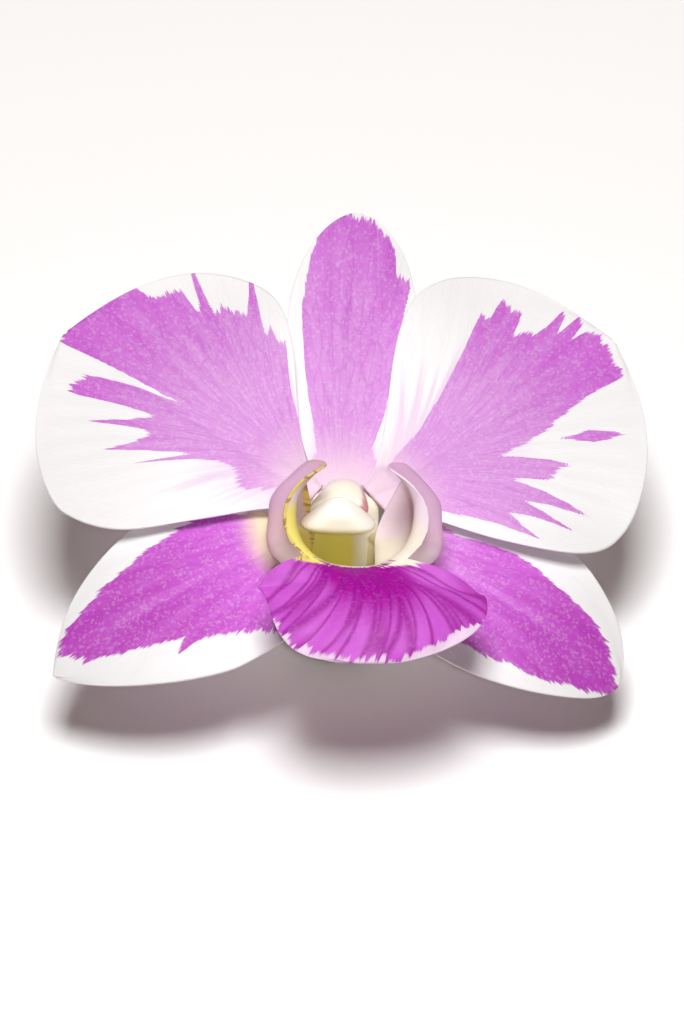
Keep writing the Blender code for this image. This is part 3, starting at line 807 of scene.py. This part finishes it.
def column_marks(t, angle):
    length = COLUMN_LINE.length * t
    x, y, z = column_point(t, angle)
    return {
        "place": (x, y, z),
        "foot": (1 - ease(length, 13.0, 20.0)) * (1 - 0.7 * ease(cos(angle), 0.3, 0.8)) * ease(-sin(angle), -0.3, 0.1),
        "tip": 1 - ease(length, 0.0, 11.0),
        # painted shade mask: one side of the column near its end
        "flush": ease(cos(angle), 0.5, 0.95) * ease(length, 20.5, 22.5),
    }


def column_point(t, angle):
    """The column's surface; its foot has thin wings that join the sepals, as in the grown flower."""
    length = COLUMN_LINE.length * t
    place, right, up = COLUMN_LINE.frame(length)
    width, thick = place[3:] * max(1 - abs(2 * t - 1) ** COLUMN_BLUNT, 0.0) ** (1 / COLUMN_BLUNT)
    width += FOOT_WING * abs(cos(angle)) ** 8 * ease(length, 3.0, 6.0) * (1 - ease(length, 18.5, 21.0))
    return place[:3] + right * width * cos(angle) + up * thick * sin(angle)


def column_end():
    """The middle of the column's end, where the anther sits, and the directions right, up and on."""
    place, right, up = COLUMN_LINE.frame(COLUMN_LINE.length)
    return place[:3], right, up, np.cross(right, up)


def squared(x):
    """A coordinate of the unit sphere moved out towards the box round it."""
    return np.sign(x) * abs(x) ** ANTHER_SQUARE


def anther_point(t, angle):
    """The anther cap's dome, from its rim at t = 0 to its top."""
    end, right, up, along = column_end()
    half_x, half_y, deep = ANTHER_SIZE
    x, y = squared(cos(angle) * cos(t * pi / 2)), squared(sin(angle) * cos(t * pi / 2))
    wide = half_x * (1 - ANTHER_TAPER * y)
    return end + right * wide * x + up * half_y * y + along * (deep * sin(t * pi / 2) + ANTHER_SEAT)


def pollinium_point(x, t, angle):
    end, right, up, along = column_end()
    half_x, half_y, deep = POLLINIUM_SIZE
    middle = end + right * x + along * (deep + POLLINIUM_GAP)
    ring, height = sin(pi * t), cos(pi * t)
    return middle + right * half_x * ring * cos(angle) + up * half_y * ring * sin(angle) + along * deep * height


def add_stalk(material):
    """The ovary and stalk: a grooved tube that ends in a clean cut."""
    line = Line([(*place, radius) for place, radius in STALK])
    cut = 0.94

    def point(t, angle):
        place, right, up = line.frame(line.length * min(t / cut, 1.0))
        grooves = 1 + 0.05 * cos(6 * angle) * (1 - ease(t, 0.3, 0.6))
        radius = place[3] * grooves * (1 - max(t - cut, 0.0) / (1 - cut))
        return place[:3] + right * radius * cos(angle) + up * radius * sin(angle)

    def marks(t, angle):
        return {"place": (cos(angle), sin(angle), 20 * t), "shade": 0.9 * ease(t, 0.2, 0.7)}

    add_body("pedicel", point, marks, (160, 40), (material,), closed_ends=False)


def main():
    petal, petal_back = tissue("petal face", 1.0, 0.0), tissue("petal back", 0.45, 0.0)
    sepal, sepal_back = tissue("sepal face", 1.0, 0.35, True), tissue("sepal back", 0.5, 0.0, True)
    for name, blade, flare, hand in (("petal_right", PETAL_RIGHT, FLARE_RIGHT, 1),
                                     ("petal_left", PETAL_LEFT, FLARE_LEFT, -1)):
        add_sheet(name, blade.point, lambda s, w: blade_marks(blade, flare, s, w, (1.0, 9.5), (9.0, 36.0)),
                  PETAL_GRID, 1.5, (petal, petal_back), hand)
    add_sheet("dorsal_sepal", DORSAL_SEPAL.point,
              lambda s, w: blade_marks(DORSAL_SEPAL, FLARE_DORSAL, s, w, (3.0, 12.5), (6.0, 42.0)),
              SEPAL_GRID, 1.5, (petal, petal_back))
    for name, blade, flare, hand, rich_from in (("right", LATERAL_RIGHT, FLARE_LATERAL_RIGHT, 1, (3.0, 26.0)),
                                                ("left", LATERAL_LEFT, FLARE_LATERAL_LEFT, -1, (-4.0, 23.0))):
        add_sheet(f"lateral_sepal_{name}", lambda s, w: lateral_point(blade, hand, s, w),
                  lambda s, w: lateral_marks(blade, flare, hand, rich_from, s, w), LATERAL_GRID, 1.2,
                  (sepal, sepal_back), hand)
    add_sheet("labellum", lip_point, lip_marks, LIP_GRID, 1.0,
              (lip_skin("lip inside", True), lip_skin("lip outside", False)))
    add_body("column", column_point, column_marks, (150, 60), (column_skin(),))
    cap = add_body("anther_cap", anther_point, lambda t, angle: {"place": anther_point(t, angle), "shade": -0.2},
                   (40, 60), (wax("anther cap", srgb(252, 248, 236), CREAM, 0.4, 1.5),), False)
    wall = cap.modifiers.new("Wall", "SOLIDIFY")
    wall.thickness = ANTHER_WALL * MM
    wall.offset = -1.0
    pollen = wax("pollen", srgb(240, 200, 80), srgb(214, 160, 40), 0.35, 4.0)
    for k, x in enumerate(POLLINIUM_PLACES):
        add_body(f"pollinium_{k + 1}", lambda t, angle: pollinium_point(x, t, angle),
                 lambda t, angle: {"place": (x, t, angle), "shade": 0.0}, (20, 24), (pollen,), False)
    add_stalk(wax("stalk", srgb(238, 236, 220), STALK_GREEN, 0.4, 1.6, 0.2))


def stage():
    """The table, the light and the camera."""
    surface = Shade("table", 0.6, Specular_IOR_Level=0.2)
    cloud = surface.noise(surface.node("TexCoord", {}).outputs["Object"], 0.1)
    surface = surface.finish(surface.blend(cloud, srgb(254, 253, 253), srgb(249, 247, 247)))
    bpy.ops.mesh.primitive_plane_add(size=6.0, location=(0, 0, -0.00005))
    floor = bpy.context.object
    floor.name = "table"
    floor.data.materials.append(surface)

    world = bpy.data.worlds.new("room")
    bpy.context.scene.world = world
    world.use_nodes = True
    background = world.node_tree.nodes["Background"]
    background.inputs["Color"].default_value = (1.0, 0.78, 0.56, 1.0)
    background.inputs["Strength"].default_value = 0.11

    data = bpy.data.lights.new("softbox", "AREA")
    data.size = 0.22
    data.energy = 4.35
    data.color = (0.94, 0.95, 0.95)
    light = bpy.data.objects.new("softbox", data)
    light.location = (0.0, -0.12, 0.62)
    light.rotation_euler = (Vector((0.0, 0.005, 0.01)) - light.location).to_track_quat("-Z", "Y").to_euler()
    bpy.context.scene.collection.objects.link(light)

    data = bpy.data.lights.new("cup fill", "SPOT")
    data.energy = 14.0
    data.shadow_soft_size = 0.02
    data.spot_size = radians(2.5)
    data.spot_blend = 1.0
    light = bpy.data.objects.new("cup fill", data)
    light.location = (0.02, -0.361, 0.412)
    light.rotation_euler = (Vector((0.001, -0.003, 0.021)) - light.location).to_track_quat("-Z", "Y").to_euler()
    bpy.context.scene.collection.objects.link(light)

    bpy.context.scene.view_settings.view_transform = "Standard"
    camera = bpy.data.objects.new("camera", bpy.data.cameras.new("camera"))
    camera.data.lens = 296
    camera.data.sensor_width = 36
    elevation, distance, aim = radians(47), 0.9, Vector((0.001, 0.007, 0.0134))
    camera.location = aim + distance * Vector((0, -cos(elevation), sin(elevation)))
    camera.rotation_euler = (aim - camera.location).to_track_quat("-Z", "Y").to_euler()
    bpy.context.scene.collection.objects.link(camera)
    bpy.context.scene.camera = camera


main()
stage()
